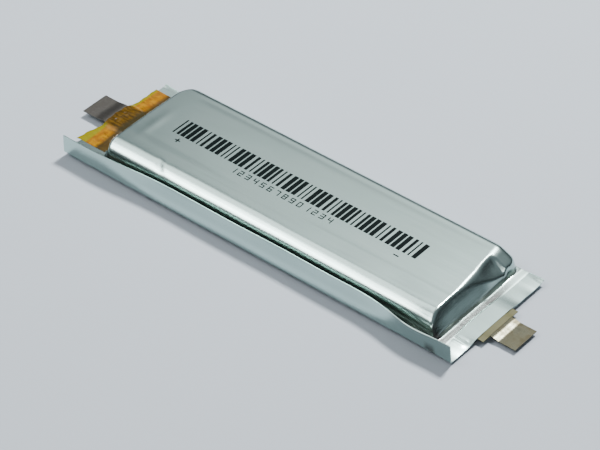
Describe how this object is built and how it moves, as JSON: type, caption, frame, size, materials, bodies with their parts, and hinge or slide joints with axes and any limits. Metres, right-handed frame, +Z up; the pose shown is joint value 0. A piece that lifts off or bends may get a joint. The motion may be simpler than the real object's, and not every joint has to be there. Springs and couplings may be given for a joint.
{
  "type": "lithium-ion pouch cell",
  "caption": "Long flat lithium-ion pouch cell with a bendable terminal tab at each end and one standing side seal.",
  "frame": {"origin": "middle of the outline, on the surface that the cell lies on", "axes": "+X along the cell to its negative end, +Y across it to the folded long edge, +Z up out of its top face"},
  "size_m": [0.162, 0.043, 0.008],
  "materials": {
    "laminate": "satin aluminium laminate under a thin clear nylon skin",
    "aluminium_tab": "dull aluminium foil strip",
    "nickel_strip": "dull nickel with rolling lines",
    "nickel_tab": "satin nickel with rolling lines",
    "tab_film": "milky translucent polypropylene",
    "amber_tape": "translucent amber polyimide",
    "cathode_coating": "matt black coating on aluminium foil",
    "anode_coating": "matt graphite coating on copper foil",
    "separator": "matt white microporous film",
    "core_tape": "glossy green polyester tape",
    "ink": "matt black print"
  },
  "bodies": {
    "cell": {"pouch_cup": "laminate", "pouch_base": "laminate", "positive_tab": "aluminium_tab", "positive_extension_strip": "nickel_strip", "negative_tab": "nickel_tab", "positive_film_upper": "tab_film", "positive_film_lower": "tab_film", "negative_film_upper": "tab_film", "negative_film_lower": "tab_film", "insulation_tape": "amber_tape", "cathode_strip": "cathode_coating", "anode_strip": "anode_coating", "separator_inner": "separator", "separator_outer": "separator", "positive_weld_tape": "amber_tape", "negative_weld_tape": "amber_tape", "core_tape_1": "core_tape", "core_tape_2": "core_tape", "core_tape_3": "core_tape", "bar_print": "ink", "polarity_print": "ink", "number_print": "ink"},
    "side_seal": {"side_seal_flap": "laminate"},
    "positive_end": {"positive_terminal": "nickel_strip"},
    "negative_end": {"negative_terminal": "nickel_tab"}
  },
  "joints": [
    {"name": "side_seal_fold", "type": "hinge", "parent": "cell", "child": "side_seal", "pos_m": [0, -0.02135, 0.0014], "axis": [1, 0, 0], "range_deg": [-30, 90]},
    {"name": "positive_tab_bend", "type": "hinge", "parent": "cell", "child": "positive_end", "pos_m": [-0.0728, 0.001, 0.00231], "axis": [0, 1, 0], "range_deg": [-90, 90]},
    {"name": "negative_tab_bend", "type": "hinge", "parent": "cell", "child": "negative_end", "pos_m": [0.0731, -0.0015, 0.0016], "axis": [0, -1, 0], "range_deg": [-90, 90]}
  ]
}
